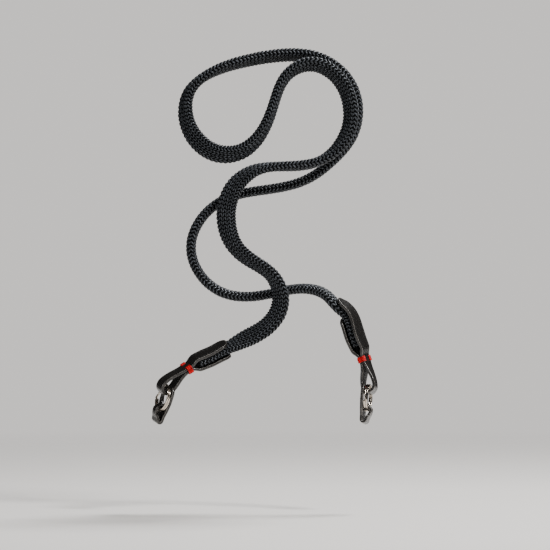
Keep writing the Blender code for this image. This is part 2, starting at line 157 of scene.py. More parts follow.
# Braid: columns of yarn floats, alternate columns slanting the other way. The floats lie nearly
# along the rope on its flat faces and cross in steep chevrons on its narrow sides. Each row is
# a column of one quarter of the outline, from the side's middle to the face's middle: its share
# of width, and its floats' slant in degrees, half length and half width.
BRAID_QUARTER = (
    (1.30, 45.0, 0.00146, 0.00066),
    (1.05, 36.0, 0.00142, 0.00061),
    (1.00, 27.0, 0.00138, 0.00057),
    (1.00, 23.0, 0.00135, 0.00055),
    (1.00, 22.0, 0.00135, 0.00055),
)

# Pitch of the rows of floats; height of a float, how far its ends dip, and how deep its foot and
# the core lie under the rope's own form; and the bare lengths at the rope's hidden ends
BRAID_PITCH = 0.00252
FLOAT_RISE = 0.00076
FLOAT_DIP = 0.00012
FLOAT_FOOT = 0.00052
CORE_DEPTH = 0.00050
CORE_SETBACK = 0.0006
BRAID_MARGIN = 0.0020

# A float's form: stations along and across its half sizes, and how its ends narrow and dip
FLOAT_ALONG = (-1.0, -0.72, -0.28, 0.28, 0.72, 1.0)
FLOAT_ACROSS = (-1.0, -0.72, 0.0, 0.72, 1.0)
FLOAT_NARROWING = 0.30
NARROWING_POWER = 3
DIP_POWER = 2.4

# Unevenness of the braid: spread of a float's place, tilt, height and length
SPREAD_AROUND = 0.000030
SPREAD_ALONG = 0.00005
SPREAD_TILT = radians(1.6)
SPREAD_LIFT = 0.00003
SPREAD_REACH = 0.03

# Leather: its cut edges, and the burnish that fades from them on to the faces
# The burnish value also places the edges' pale corners, partly wear and partly painted highlight
EDGE_RADIUS = 0.00055
EDGE_POINTS = 9
FACE_POINTS = 6
BURNISH_POWER = 0.7
BURNISH_REACH = 0.0012
BURNISH_FACE = 0.22

# Seams: their grooves, and where they start, fade in, end and fade out along the tails
SEAM_INSET = 0.0019
SEAM_DEPTH = 0.00020
SEAM_HALF = 0.00055
SEAM_START = 0.0040
SEAM_FADE_IN = 0.0030
SEAM_END = 0.0045
SEAM_FADE_OUT = 0.0020

# Stitches: stations along one, how deep it lies and how thick it is at each, and its slight lean
STITCH_MARGIN = 0.0065
STITCH_PITCH = 0.0031
STITCH_LENGTH = 0.0024
STITCH_RADIUS = 0.00028
STITCH_LEAN = 0.00014
STITCH_STATIONS = np.array((0.0, 0.12, 0.35, 0.65, 0.88, 1.0))
STITCH_SINK = np.array((-0.00042, -0.00016, -0.00006, -0.00006, -0.00016, -0.00042))
STITCH_SWELL = np.array((0.7, 0.95, 1.0, 1.0, 0.95, 0.7))

# Thread: turns of one binding, the rounding at the leather's corners, and its unevenness
THREAD_TURNS = 6
THREAD_SIDES = 12
THREAD_ROUNDING = 0.0010
THREAD_PITCH = THREAD * 0.96
THREAD_SLANT = THREAD * 0.55
THREAD_SHIFT = 0.00002
THREAD_GROW = 0.006
THREAD_RUN = 0.0095

# Ring wire: squareness of its section, and how its filed ends taper
WIRE_SQUARENESS = 3.4
FILED_SHARE = 0.22
FILED_ROWS = 4.0

# Ring guard: voxel and smoothing that round its edges, and the corner that bounds its horns
GUARD_VOXEL = 0.00024
GUARD_PASSES = 5
HORN_FROM = 0.0016
HORN_ABOVE = -0.0046

# Camera and stage
VIEW_DISTANCE = 2.5
VIEW_WIDTH = 0.35915
VIEW_CENTRE = (0.07327, 0.08019)
SENSOR_WIDTH = 36.0
FLOOR_RADIUS = 6.0
FLOOR_PLACE = (0.07, 0.0, -0.075)
LIGHT_AIM = (0.065, 0.0, 0.11)
PALE = (0.80, 0.775, 0.75, 1.0)


# Small helpers


def unit(vectors):
    """The same directions with length 1."""
    return vectors / np.linalg.norm(vectors, axis=-1, keepdims=True)


def smooth_step(share):
    """0 up to 0, 1 from 1 on, and a smooth rise between."""
    share = np.clip(share, 0.0, 1.0)
    return share * share * (3.0 - 2.0 * share)


def follow(where, known, rows):
    """Each column of rows, given at the known places, read at other places."""
    return np.array([np.interp(where, known, column) for column in rows.T]).T


def running_length(points):
    """Length from the first point to each point."""
    steps = np.linalg.norm(np.diff(points, axis=0), axis=1)
    return np.concatenate(([0.0], np.cumsum(steps)))


def natural_spline(knots, values):
    """A smooth curve through values at knots, with no bend at its two ends."""
    count = len(knots)
    steps = np.diff(knots)
    rises = np.diff(values, axis=0) / steps[:, None]
    system = np.eye(count)
    right = np.zeros_like(values)
    for i in range(1, count - 1):
        system[i, i - 1 : i + 2] = steps[i - 1], 2.0 * (steps[i - 1] + steps[i]), steps[i]
        right[i] = 6.0 * (rises[i] - rises[i - 1])
    bends = np.linalg.solve(system, right)

    def at(where):
        where = np.atleast_1d(where)
        i = np.clip(np.searchsorted(knots, where) - 1, 0, count - 2)
        step = steps[i][:, None]
        ahead = (knots[i + 1] - where)[:, None]
        behind = (where - knots[i])[:, None]
        curve = (bends[i] * ahead**3 + bends[i + 1] * behind**3) / (6.0 * step)
        start = (values[i] / step - bends[i] * step / 6.0) * ahead
        end = (values[i + 1] / step - bends[i + 1] * step / 6.0) * behind
        return curve + start + end

    return at


def grid_faces(rows, columns, closed):
    """Quads of a grid of vertices, wrapped round its columns when closed."""
    faces = []
    for r in range(rows - 1):
        for c in range(columns if closed else columns - 1):
            d = (c + 1) % columns
            low, high = r * columns, (r + 1) * columns
            faces.append((low + c, low + d, high + d, high + c))
    return faces


def mesh_object(name, points, faces, material, sharp=None):
    """A smooth shaded piece that rides on the root body."""
    mesh = bpy.data.meshes.new(name)
    mesh.from_pydata(np.asarray(points, float).tolist(), [], faces)
    mesh.update()
    mesh.shade_smooth()
    if sharp is not None:
        mesh.set_sharp_from_angle(angle=radians(sharp))
    mesh.materials.append(material)
    thing = bpy.data.objects.new(name, mesh)
    bpy.context.scene.collection.objects.link(thing)
    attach(thing, "root")
    return thing


def set_attribute(thing, name, values):
    """A number for each vertex, which the material reads."""
    attribute = thing.data.attributes.new(name, "FLOAT", "POINT")
    attribute.data.foreach_set("value", np.asarray(values, np.float32))


def face_out(thing):
    """Turn every closed shell's faces outward."""
    shape = bmesh.new()
    shape.from_mesh(thing.data)
    bmesh.ops.recalc_face_normals(shape, faces=shape.faces)
    shape.to_mesh(thing.data)
    shape.free()


def squared_circle(angles, squareness):
    """Points of a unit circle swelled toward its square; a squareness of 2 is the circle."""
    power = 2.0 / squareness
    u = np.sign(np.cos(angles)) * np.abs(np.cos(angles)) ** power
    v = np.sign(np.sin(angles)) * np.abs(np.sin(angles)) ** power
    return u, v


class Parts:
    """Many closed tubes gathered into one mesh."""

    def __init__(self):
        self.points = []
        self.faces = []
        self.count = 0

    def add(self, rings):
        """One tube, given as rings of points, with a flat face at each end."""
        rings = np.asarray(rings, float)
        rows, columns = rings.shape[:2]
        first, last = self.count, self.count + (rows - 1) * columns
        self.points.append(rings.reshape(-1, 3))
        for face in grid_faces(rows, columns, True):
            self.faces.append(tuple(first + i for i in face))
        self.faces.append(tuple(first + i for i in range(columns))[::-1])
        self.faces.append(tuple(last + i for i in range(columns)))
        self.count += rows * columns

    def build(self, name, material, sharp):
        points = np.vstack(self.points)
        return mesh_object(name, points, self.faces, material, sharp)


def tube_rings(points, radius, sides, up):
    """Rings of a round tube along points; radius is one number, or one for each point."""
    points = np.asarray(points, float)
    along = unit(np.gradient(points, axis=0))
    radii = np.broadcast_to(radius, len(points))
    across = unit(np.cross(along, up))
    normal = np.cross(across, along)
    angles = np.linspace(0.0, 2.0 * pi, sides, endpoint=False)
    ring = np.cos(angles)[:, None, None] * across + np.sin(angles)[:, None, None] * normal
    return points[:, None, :] + ring.transpose(1, 0, 2) * radii[:, None, None]


# Route, as in the part


def end_frame(side):
    """Directions at one end: inward to the strap's middle, up, and to the front."""
    turn = ENDS[side]["turn"]
    mirror = 1.0 if side == "left" else -1.0
    inward = np.array((mirror * cos(turn), sin(turn), 0.0))
    across = np.array((mirror * sin(turn), -cos(turn), 0.0))
    return inward, np.array((0.0, 0.0, 1.0)), across


def ring_axes(side):
    """The ring's axis (inward), its plane's front direction, and its top where the eye is."""
    inward, up, across = end_frame(side)
    lean, roll = ENDS[side]["lean"], ENDS[side]["roll"]
    top = (inward * sin(lean) + up * cos(lean)) * cos(roll) + across * sin(roll)
    front = np.cross(inward, top) if side == "left" else np.cross(top, inward)
    front = unit(front)
    axis = np.cross(top, front) if side == "left" else np.cross(front, top)
    return axis, front, top


def ring_centre(side):
    return np.array((0.0 if side == "left" else RING_SPACING, 0.0, 0.0))


def neck_across(side):
    """Direction across the leather's neck, toward the front."""
    turn, roll = ENDS[side]["neck_turn"], ENDS[side]["roll"]
    mirror = 1.0 if side == "left" else -1.0
    return np.array((mirror * sin(turn) * cos(roll), -cos(turn) * cos(roll), -sin(roll)))


def ring_radius():
    return (RING_OUTSIDE - RING_WIRE) / 2.0


def eye_bore():
    """Half of the room between the eye's two layers, where the ring's wire passes."""
    turns = hypot(RING_WIRE / 2.0, RING_WIRE + RING_TURN_GAP / 2.0)
    bend = ring_radius() - sqrt(ring_radius() ** 2 - (EYE_WIDTH / 2.0) ** 2)
    return turns + EYE_BEND_SHARE * bend + FIT_GAP


def rising(side, angle, roll=0.0):
    """Direction that rises inward from one end at an angle, rolled to the front."""
    inward, up, across = end_frame(side)
    return inward * cos(angle) + (up * cos(roll) + across * sin(roll)) * sin(angle)


def end_points(side):
    """The route's points at one end: the eye, the neck, and the tails' middle and tip."""
    eye = ring_centre(side) + ring_axes(side)[2] * ring_radius()
    neck = eye + rising(side, ENDS[side]["neck"], ENDS[side]["roll"]) * EYE_REACH
    tails = rising(side, ENDS[side]["tails"])
    return [eye, neck, neck + tails * TAIL_LENGTH / 2.0, neck + tails * TAIL_LENGTH]


def front_axes(tangents):
    """Axes square to the tangents: one that faces the front as far as it can, and one beside."""
    front = unit(np.array((0.0, -1.0, 0.0)) + tangents * tangents[:, 1:2])
    return front, np.cross(front, tangents)


def end_twists(side, tangents):
    """Twist of the strap's faces at an end's points, from its ring and neck."""
    twists = []
    for across, tangent in zip([ring_axes(side)[1]] + [neck_across(side)] * 3, tangents):
        front, left = front_axes(tangent[None, :])
        twists.append(np.arctan2(-across @ left[0], across @ front[0]))
    return twists


class Route:
    """Positions, tangents, face normals and across axes at any length from the left eye."""

    def __init__(self):
        free = [
            np.array((across * FORM_WIDTH, back * STRAND_DEPTH, up * FORM_HEIGHT))
            for across, up, back, _ in ROUTE
        ]
        points = np.array(end_points("left") + free + end_points("right")[::-1])
        samples = 4001
        knots = running_length(points)
        fine = np.linspace(0.0, knots[-1], samples)
        places = natural_spline(knots, points)(fine)
        self.lengths = running_length(places)
        self.length = self.lengths[-1]
        tangents = unit(np.gradient(places, self.lengths, axis=0))
        at_knots = np.searchsorted(fine, knots).clip(0, len(fine) - 1)
        twists = end_twists("left", tangents[at_knots[:4]])
        twists += [radians(row[3]) for row in ROUTE]
        twists += end_twists("right", tangents[at_knots[:-5:-1]])[::-1]
        twist = natural_spline(knots, np.array(twists)[:, None])(fine)
        front, left = front_axes(tangents)
        normals = left * np.cos(twist) + front * np.sin(twist)
        across = front * np.cos(twist) - left * np.sin(twist)
        self.table = np.hstack((places, tangents, normals, across))
        self.neck = {
            "left": self.lengths[at_knots[1]],
            "right": self.length - self.lengths[at_knots[-2]],
        }

    def at(self, lengths):
        rows = follow(lengths, self.lengths, self.table)
        return rows[:, 0:3], unit(rows[:, 3:6]), unit(rows[:, 6:9]), unit(rows[:, 9:12])

    def from_end(self, side, lengths):
        lengths = np.atleast_1d(lengths)
        return self.at(lengths if side == "left" else self.length - lengths)


def held_half(beyond):
    """Half of the rope's thickness at a length beyond the neck."""
    swell = smooth_step((beyond / TAIL_LENGTH - SWELL_START) / SWELL_SPAN)
    return (HELD_THICKNESS + (ROPE_THICKNESS - HELD_THICKNESS) * swell) / 2.0


def layer_offset(beyond):
    """How far a leather layer's middle lies from the route, at a length beyond the neck."""
    closed = (LEATHER + FIT_GAP) / 2.0
    opened = held_half(beyond) + HELD_GAP + LEATHER / 2.0
    share = (beyond - CLOSED_REACH) / (TAIL_OPENING - CLOSED_REACH)
    spread = closed + (opened - closed) * smooth_step(share)
    rounded = eye_bore() + LEATHER / 2.0
    toward_eye = (-beyond - CLOSED_REACH) / (EYE_REACH - CLOSED_REACH)
    return spread + (rounded - closed) * smooth_step(toward_eye)


def layer_width(beyond):
    """Width of the leather at a length beyond the neck."""
    share = (beyond - CLOSED_REACH) / TAIL_FLARE
    return EYE_WIDTH + (TAIL_WIDTH - EYE_WIDTH) * smooth_step(share)


# Materials


class Nodes:
    """Short calls for a material's node tree."""

    def __init__(self, name, **values):
        self.material = bpy.data.materials.new(name)
        self.material.use_nodes = True
        self.tree = self.material.node_tree
        self.shader = self.tree.nodes["Principled BSDF"]
        for key, value in values.items():
            self.shader.inputs[key.replace("_", " ")].default_value = value

    def put(self, socket, value):
        if isinstance(value, bpy.types.NodeSocket):
            self.tree.links.new(value, socket)
        elif value is not None:
            socket.default_value = value

    def add(self, kind, *values, **settings):
        node = self.tree.nodes.new(f"ShaderNode{kind}")
        for key, value in settings.items():
            setattr(node, key, value)
        for socket, value in zip(node.inputs, values):
            self.put(socket, value)
        return node

    def attribute(self, name):
        return self.add("Attribute", attribute_name=name).outputs["Fac"]

    def math(self, operation, a, b=None, c=None):
        return self.add("Math", a, b, c, operation=operation).outputs[0]

    def noise(self, vector, scale, detail=3.0, roughness=0.55):
        node = self.add("TexNoise")
        self.put(node.inputs["Vector"], vector)
        node.inputs["Scale"].default_value = scale
        node.inputs["Detail"].default_value = detail
        node.inputs["Roughness"].default_value = roughness
        return node.outputs["Fac"]

    def cell_borders(self, vector, scale):
        """Distance to the nearest border between cells."""
        node = self.add("TexVoronoi", feature="DISTANCE_TO_EDGE")
        self.put(node.inputs["Vector"], vector)
        node.inputs["Scale"].default_value = scale
        return node.outputs["Distance"]

    def ramp(self, value, *stops):
        """A colour or number by value; each stop is a position and what it gives."""
        node = self.add("ValToRGB", value)
        elements = node.color_ramp.elements
        while len(elements) < len(stops):
            elements.new(0.5)
        for element, (position, colour) in zip(elements, stops):
            element.position = position
            grey = isinstance(colour, float)
            element.color = (colour, colour, colour, 1.0) if grey else (*colour, 1.0)
        return node.outputs[0]

    def mix(self, factor, a, b, blend="MIX"):
        """A mix of two colours; a Mix node's colour sockets are reached by number."""
        node = self.add("Mix", data_type="RGBA", blend_type=blend)
        self.put(node.inputs["Factor"], factor)
        colour_a, colour_b, result = node.inputs[6], node.inputs[7], node.outputs[2]
        for socket, value in ((colour_a, a), (colour_b, b)):
            self.put(socket, (*value, 1.0) if isinstance(value, tuple) else value)
        return result

    def object_points(self):
        return self.add("TexCoord").outputs["Object"]

    def vector(self, x, y, z):
        return self.add("CombineXYZ", x, y, z).outputs[0]

    def bump(self, height, distance, strength=1.0, under=None):
        node = self.add("Bump")
        node.inputs["Strength"].default_value = strength
        node.inputs["Distance"].default_value = distance
        self.put(node.inputs["Height"], height)
        if under is not None:
            self.put(node.inputs["Normal"], under)
        return node.outputs[0]

    def finish(self, colour, roughness, normal):
        self.put(self.shader.inputs["Base Color"], colour)
        self.put(self.shader.inputs["Roughness"], roughness)
        self.put(self.shader.inputs["Normal"], normal)
        return self.material


def yarn_material():
    """Near-black nylon yarn: fibres twist along each float; painted crown highlights, painted gap
    shade.
    """
    n = Nodes(
        "braided_yarn",
        Specular_IOR_Level=0.40,
        Specular_Tint=(0.88, 0.94, 1.0, 1.0),
        Sheen_Weight=0.03,
        Sheen_Roughness=0.35,
        Sheen_Tint=(0.62, 0.72, 0.86, 1.0),
    )
    shadow, light = (0.0240, 0.0262, 0.0305), (0.1150, 0.1250, 0.1450)
    painted_gap_shade, dust = (0.0003, 0.0003, 0.0004), (0.012, 0.0125, 0.014)
    across, along, own = (n.attribute(a) for a in ("yarn_across", "yarn_along", "yarn_own"))
    seed = n.math("MULTIPLY", own, 37.0)
    slanted = n.math("MULTIPLY_ADD", along, 0.42, across)
    strands = n.noise(n.vector(n.math("MULTIPLY", slanted, 9.0), along, seed), 1.0, 4.0, 0.7)
    plies = n.math("SINE", n.math("MULTIPLY_ADD", slanted, 9.5, seed))
    height = n.math("MULTIPLY_ADD", plies, 0.22, strands)
    fine = n.ramp(strands, (0.34, shadow), (0.66, light))
    shade = n.ramp(own, (0.0, 0.50), (0.6, 1.0), (1.0, 1.70))
    colour = n.mix(1.0, fine, shade, "MULTIPLY")
    # Painted highlight on each float's crown, painted near-black shade at its ends and flanks
    ends = n.ramp(n.math("MULTIPLY", along, along), (0.24, 1.0), (0.74, 0.0))
    edges = n.ramp(n.math("MULTIPLY", across, across), (0.0, 1.0), (0.24, 0.010))
    crown = n.math("MULTIPLY", ends, edges)
    colour = n.mix(crown, painted_gap_shade, colour)
    dusty = n.ramp(n.noise(n.object_points(), 60.0, 3.0), (0.45, 0.0), (0.75, 0.14))
    colour = n.mix(dusty, colour, dust)
    rough = n.ramp(strands, (0.25, 0.34), (0.8, 0.20))
    rough = n.math("MULTIPLY_ADD", n.math("SUBTRACT", 1.0, crown), 0.30, rough)
    return n.finish(colour, rough, n.bump(height, 0.000022, 0.9))


def core_material():
    """The rope's inside, seen only between the floats; near black, darker than the yarn: painted
    shade.
    """
    n = Nodes("rope_core", Specular_IOR_Level=0.08)
    # Near-black colours, darker than the yarn: painted shade between the floats
    dark, less_dark = (0.0006, 0.0006, 0.0008), (0.0022, 0.0024, 0.0028)
    shade = n.noise(n.object_points(), 900.0, 2.0)
    colour = n.ramp(shade, (0.3, dark), (0.8, less_dark))
    return n.finish(colour, n.ramp(shade, (0.2, 0.9), (0.9, 0.75)), n.bump(shade, 0.0001))


def leather_material():
    """Black leather: pebbled grain, creases, cut edges whose pale corners are wear and painted
    highlight.
    """
    n = Nodes("black_leather_grain", Specular_IOR_Level=0.24, Coat_Weight=0.62, Coat_Roughness=0.19)
    black, brown_black = (0.0028, 0.0024, 0.0021), (0.0080, 0.0068, 0.0060)
    pebble, corner_wear_and_highlight = (0.012, 0.0105, 0.0094), (0.340, 0.316, 0.292)
    cut_dark, cut_pale = (0.007, 0.0063, 0.0058), (0.034, 0.031, 0.028)
    places = n.object_points()
    edge = n.attribute("edge")
    warp = n.noise(places, 420.0, 2.0)
    shifted = n.add("VectorMath", n.vector(warp, warp, warp), operation="SCALE")
    shifted.inputs["Scale"].default_value = 0.0006
    moved = n.add("VectorMath", places, shifted.outputs[0], operation="ADD")
    grain = n.ramp(n.cell_borders(moved.outputs[0], 1700.0), (0.0, 0.0), (0.16, 1.0))
    pores = n.noise(places, 2600.0, 3.0, 0.6)
    creases = n.ramp(n.noise(places, 330.0, 5.0, 0.7), (0.42, 0.0), (0.5, 1.0), (0.58, 0.0))
    base = n.ramp(n.noise(places, 150.0, 4.0), (0.3, black), (0.75, brown_black))
    # The pebbles' tops a little paler than the grooves between them: painted shade in the grooves
    base = n.mix(n.math("MULTIPLY", grain, 0.30), base, pebble)
    worn = n.noise(places, 700.0, 4.0, 0.65)
    fibres = n.ramp(worn, (0.35, cut_dark), (0.7, cut_pale))
    rim = n.math("MULTIPLY", n.math("POWER", edge, 1.6), n.ramp(worn, (0.25, 0.55), (0.7, 1.0)))
    colour = n.mix(rim, base, fibres)
    # Pale corners of the cut edges: partly wear, partly a painted highlight along them
    corner = n.ramp(edge, (0.24, 0.0), (0.52, 1.0), (0.90, 0.0))
    rubbed_and_highlit = n.math("MULTIPLY", corner, n.ramp(worn, (0.36, 0.15), (0.62, 1.0)))
    colour = n.mix(rubbed_and_highlit, colour, corner_wear_and_highlight)
    rough = n.mix(edge, n.ramp(pores, (0.3, 0.36), (0.8, 0.52)), (0.26, 0.26, 0.26))
    relief = n.math("MULTIPLY_ADD", creases, -0.35, grain)
    normal = n.bump(pores, 0.00002, 0.5, n.bump(relief, 0.00004, 0.8))
    n.put(n.shader.inputs["Coat Normal"], n.bump(relief, 0.000017, 0.6))
    return n.finish(colour, rough, normal)


def thread_material():
    """Waxed red thread: twisted plies with painted shade in their grooves, and small fibres."""
    n = Nodes("waxed_red_thread", Specular_IOR_Level=0.22)
    deep_red, red = (0.22, 0.0, 0.0015), (0.80, 0.0, 0.006)
    along, around, own = (n.attribute(a) for a in ("thread_along", "thread_round", "thread_own"))
    turned = n.math("MULTIPLY_ADD", along, 5200.0, n.math("MULTIPLY", around, 2.0 * pi))
    stretched = n.vector(n.math("MULTIPLY", turned, 3.0), n.math("MULTIPLY", along, 900.0), own)
    fibres = n.noise(stretched, 1.0, 3.0)
    height = n.math("MULTIPLY_ADD", n.math("SINE", turned), 0.6, fibres)
    # Darker red where the plies sink: painted shade in the grooves; the fibre noise adds own tone
    colour = n.ramp(height, (0.0, deep_red), (0.9, red))
    rough = n.ramp(fibres, (0.3, 0.38), (0.8, 0.60))
    return n.finish(colour, rough, n.bump(height, 0.00005, 0.7))


def black_thread_material():
    """Black seam thread, a little paler than the leather."""
    n = Nodes("black_seam_thread", Specular_IOR_Level=0.3)
    black, grey = (0.0030, 0.0030, 0.0033), (0.014, 0.0136, 0.014)
    fibres = n.noise(n.object_points(), 5200.0, 3.0)
    colour = n.ramp(fibres, (0.3, black), (0.8, grey))
    return n.finish(colour, n.ramp(fibres, (0.3, 0.45), (0.8, 0.65)), n.bump(fibres, 0.00004))


def steel_material():
    """Polished steel wire with fine lengthwise scratches and a warm, slightly worn tone."""
    n = Nodes("polished_ring_steel", Metallic=1.0)
    dull, bright = (0.60, 0.52, 0.43), (0.78, 0.71, 0.62)
    along, around = n.attribute("wire_along"), n.attribute("wire_round")
    stretched = n.vector(n.math("MULTIPLY", along, 240.0), n.math("MULTIPLY", around, 26.0), 0.0)
    streaks = n.noise(stretched, 1.0, 4.0)
    smudge = n.noise(n.object_points(), 380.0, 4.0, 0.6)
    tone = n.ramp(smudge, (0.3, dull), (0.7, bright))
    colour = n.mix(1.0, tone, n.ramp(streaks, (0.30, 0.74), (0.52, 1.0)), "MULTIPLY")
    scratched = n.ramp(streaks, (0.3, 0.10), (0.8, 0.24))
    rough = n.math("ADD", scratched, n.ramp(smudge, (0.4, 0.0), (0.9, 0.12)))
    return n.finish(colour, rough, n.bump(streaks, 0.000012, 0.5))


# Rope


def rope_perimeter():
    """The rope's full outline: running length, places across and up, and outward normals."""
    count, samples, window = 2001, 1201, 61
    angles = np.linspace(0.0, 2.0 * pi, count)
    u, v = squared_circle(angles, ROPE_SQUARENESS)
    u, v = u * ROPE_WIDTH / 2.0, v * ROPE_THICKNESS / 2.0
    run = running_length(np.stack((u, v), axis=1))
    even = np.linspace(0.0, run[-1], samples)
    u, v = np.interp(even, run, u), np.interp(even, run, v)
    du = np.roll(u[:-1], -1) - np.roll(u[:-1], 1)
    dv = np.roll(v[:-1], -1) - np.roll(v[:-1], 1)
    normals = unit(np.stack((dv, -du), axis=1))
    half = window // 2
    wrapped = np.vstack((normals[-half:], normals, normals[:half]))
    flat = np.ones(window) / window
    normals = unit(np.stack([np.convolve(column, flat, "valid") for column in wrapped.T], axis=1))
    normals = np.vstack((normals, normals[:1]))
    return even, u, v, normals


def rope_sizes(route, lengths):
    """Half width and half thickness at each length, pinched inside the tails."""
    beyond = np.minimum(lengths - route.neck["left"], route.length - lengths - route.neck["right"])
    lag = FIT_GAP * 3.0
    room = layer_offset(beyond - lag) - LEATHER / 2.0 - HELD_GAP
    width = np.minimum(ROPE_WIDTH, layer_width(beyond) * ROPE_WIDTH / TAIL_WIDTH)
    return width / 2.0, np.minimum(ROPE_THICKNESS / 2.0, room)


def rope_surface(route, outline, lengths, around, height):
    """Points at lengths along the rope, running lengths around it and heights above its form."""
    even, u, v, normals = outline
    around = np.mod(around, even[-1])
    places, _, face, side = route.at(lengths)
    half_width, half_thickness = rope_sizes(route, lengths)
    wide = half_width / (ROPE_WIDTH / 2.0)
    thick = half_thickness / (ROPE_THICKNESS / 2.0)
    low = np.minimum(height, 0.0) * np.minimum(1.0, thick) + np.maximum(height, 0.0)
    x = np.interp(around, even, u) * wide + np.interp(around, even, normals[:, 0]) * low
    y = np.interp(around, even, v) * thick + np.interp(around, even, normals[:, 1]) * low
    return places + side * x[:, None] + face * y[:, None]


def make_core(route, outline, material):
    """The dark tube under the braid; gives its ends along the route."""
    start = route.neck["left"] + ROPE_SETBACK + CORE_SETBACK
    end = route.length - route.neck["right"] - ROPE_SETBACK - CORE_SETBACK
    rows, columns, path_points = 420, 28, 400
    lengths = np.repeat(np.linspace(start, end, rows), columns)
    around = np.tile(np.linspace(0.0, outline[0][-1], columns, endpoint=False), rows)
    points = rope_surface(route, outline, lengths, around, np.full(rows * columns, -CORE_DEPTH))
    parts = Parts()
    parts.add(points.reshape(rows, columns, 3))
    core = parts.build("rope_core", material, sharp=60.0)
    face_out(core)
    path = route.at(np.linspace(start, end, path_points))[0]
    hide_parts("flat_rope")
    return start, end


def float_form():
    """One float's grid: stations along and across, its narrowing, and its height at each point."""
    t, w = np.array(FLOAT_ALONG), np.array(FLOAT_ACROSS)
    narrow = 1.0 - FLOAT_NARROWING * np.abs(t) ** NARROWING_POWER
    dip = -FLOAT_DIP * np.abs(t) ** DIP_POWER
    crown = np.sqrt(np.clip(1.0 - w**2, 0.0, 1.0))
    height = -FLOAT_FOOT + FLOAT_RISE * crown[None, :] * narrow[:, None] + dip[:, None]
    t_grid, w_grid = np.meshgrid(t, w, indexing="ij")
    return t_grid, w_grid, narrow[:, None], height


def make_floats(route, outline, slant, material, start, end):
    """The yarn floats of every second column, all slanting the same way, as one mesh."""
    quarter = np.array(BRAID_QUARTER)
    columns = np.vstack((quarter, quarter[::-1], quarter, quarter[::-1]))
    widths = columns[:, 0] / columns[:, 0].sum() * outline[0][-1]
    centres = np.cumsum(widths) - widths / 2.0
    chosen = slice(0 if slant > 0 else 1, None, 2)
    rows = int((end - start - 2.0 * BRAID_MARGIN) / BRAID_PITCH)
    row_places = start + BRAID_MARGIN + (np.arange(rows) + 0.5) * BRAID_PITCH
    around = np.tile(centres[chosen], rows)
    along = np.repeat(row_places, len(centres[chosen]))
    count = len(around)
    _, steep, reach, half = np.tile(columns[chosen], (rows, 1)).T
    around = around + rng.normal(0.0, SPREAD_AROUND, count)
    along = along + rng.normal(0.0, SPREAD_ALONG, count)
    tilt = slant * (np.radians(steep) + rng.normal(0.0, SPREAD_TILT, count))
    lift = rng.normal(0.0, SPREAD_LIFT, count)
    reach = reach * rng.normal(1.0, SPREAD_REACH, count)
    own = rng.random(count)
    t_grid, w_grid, narrow, height = float_form()
    around, along, tilt, lift, reach, half = (
        values[:, None, None] for values in (around, along, tilt, lift, reach, half)
    )
    run = t_grid * reach
    out = w_grid * half * narrow
    along = np.clip(along + run * np.cos(tilt) - out * np.sin(tilt), start, end)
    around = around + run * np.sin(tilt) + out * np.cos(tilt)
    height = height + lift
    points = rope_surface(route, outline, along.ravel(), around.ravel(), height.ravel())
    one = np.array(grid_faces(*t_grid.shape, False))
    faces = (one + (np.arange(count) * t_grid.size)[:, None, None]).reshape(-1, 4)
    name = "braid_right_hand" if slant > 0 else "braid_left_hand"
    thing = mesh_object(name, points, faces.tolist(), material)
    set_attribute(thing, "yarn_across", np.tile(w_grid.ravel(), count))
    set_attribute(thing, "yarn_along", np.tile(t_grid.ravel(), count))
    set_attribute(thing, "yarn_own", np.repeat(own, t_grid.size))
    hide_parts("flat_rope")


# Leather ends


def layer_line(route, side, face, length, count):
    """One layer's middle line from the eye to the tail's tip, with widths and lengths."""
    tip_rows, tip_end, tip_length = 14, asin(0.995), 0.94
    neck = route.neck[side]
    rounding = TAIL_WIDTH / 2.0
    body = np.linspace(0.0, neck + length - rounding, count)
    angles = np.linspace(0.0, tip_end, tip_rows)[1:]
    tip = body[-1] + rounding * tip_length * np.sin(angles)
    lengths = np.concatenate((body, tip))
    points, _, normals, _ = route.from_end(side, lengths)
    widths = layer_width(lengths - neck)
    widths[len(body) :] = TAIL_WIDTH * np.cos(angles)
    points = points + normals * (face * layer_offset(lengths - neck))[:, None]
    return points, widths, lengths - neck


def half_section(width, seam):
    """Half of the strip's outline: a rounded cut edge, then the face with its seam groove."""
    reach, half = width / 2.0, LEATHER / 2.0
    # The bare shares below space the face's points, and keep them apart on a narrow strip
    radius = min(EDGE_RADIUS, reach * 0.8)
    groove = reach - SEAM_INSET
    seamed = groove > SEAM_HALF * 1.2
    across = [groove + SEAM_HALF, groove, groove - SEAM_HALF] if seamed else []
    shoulder = reach - radius * 0.9 - (SEAM_INSET * 0.4 if seamed else 0.0)
    inner = (across[-1] if seamed else reach * 0.4) * 0.5
    face = [shoulder] + across + [inner, 0.0]
    while len(face) < FACE_POINTS:
        face.append(face[-1] * 0.5)
    outline = []
    # Burnish: 1 across the cut, 0 on the faces; at the corners it marks wear and a painted
    # highlight
    for turn in np.linspace(-pi / 2.0, pi / 2.0, EDGE_POINTS):
        u = reach - radius + radius * cos(turn)
        v = (half - radius) * np.sign(turn) + radius * sin(turn)
        outline.append((u, v, abs(cos(turn)) ** BURNISH_POWER))
    for u in sorted(face, reverse=True):
        depth = max(0.0, 1.0 - abs(u - groove) / SEAM_HALF) if seamed else 0.0
        burnish = max(0.0, 1.0 - (reach - radius - u) / BURNISH_REACH) * BURNISH_FACE
        outline.append((u, half - SEAM_DEPTH * seam * depth, burnish))
    return outline


def full_section(width, seam):
    """The whole outline round the strip, starting at its right edge's lower corner."""
    right = half_section(width, seam)
    plain = half_section(width, 0.0)[EDGE_POINTS:]
    upper = right + [(-u, v, burnish) for u, v, burnish in right[-2::-1]]
    lower = [(u, -v, burnish) for u, v, burnish in plain]
    return upper + [(-u, v, burnish) for u, v, burnish in lower[:-1]] + lower[::-1]


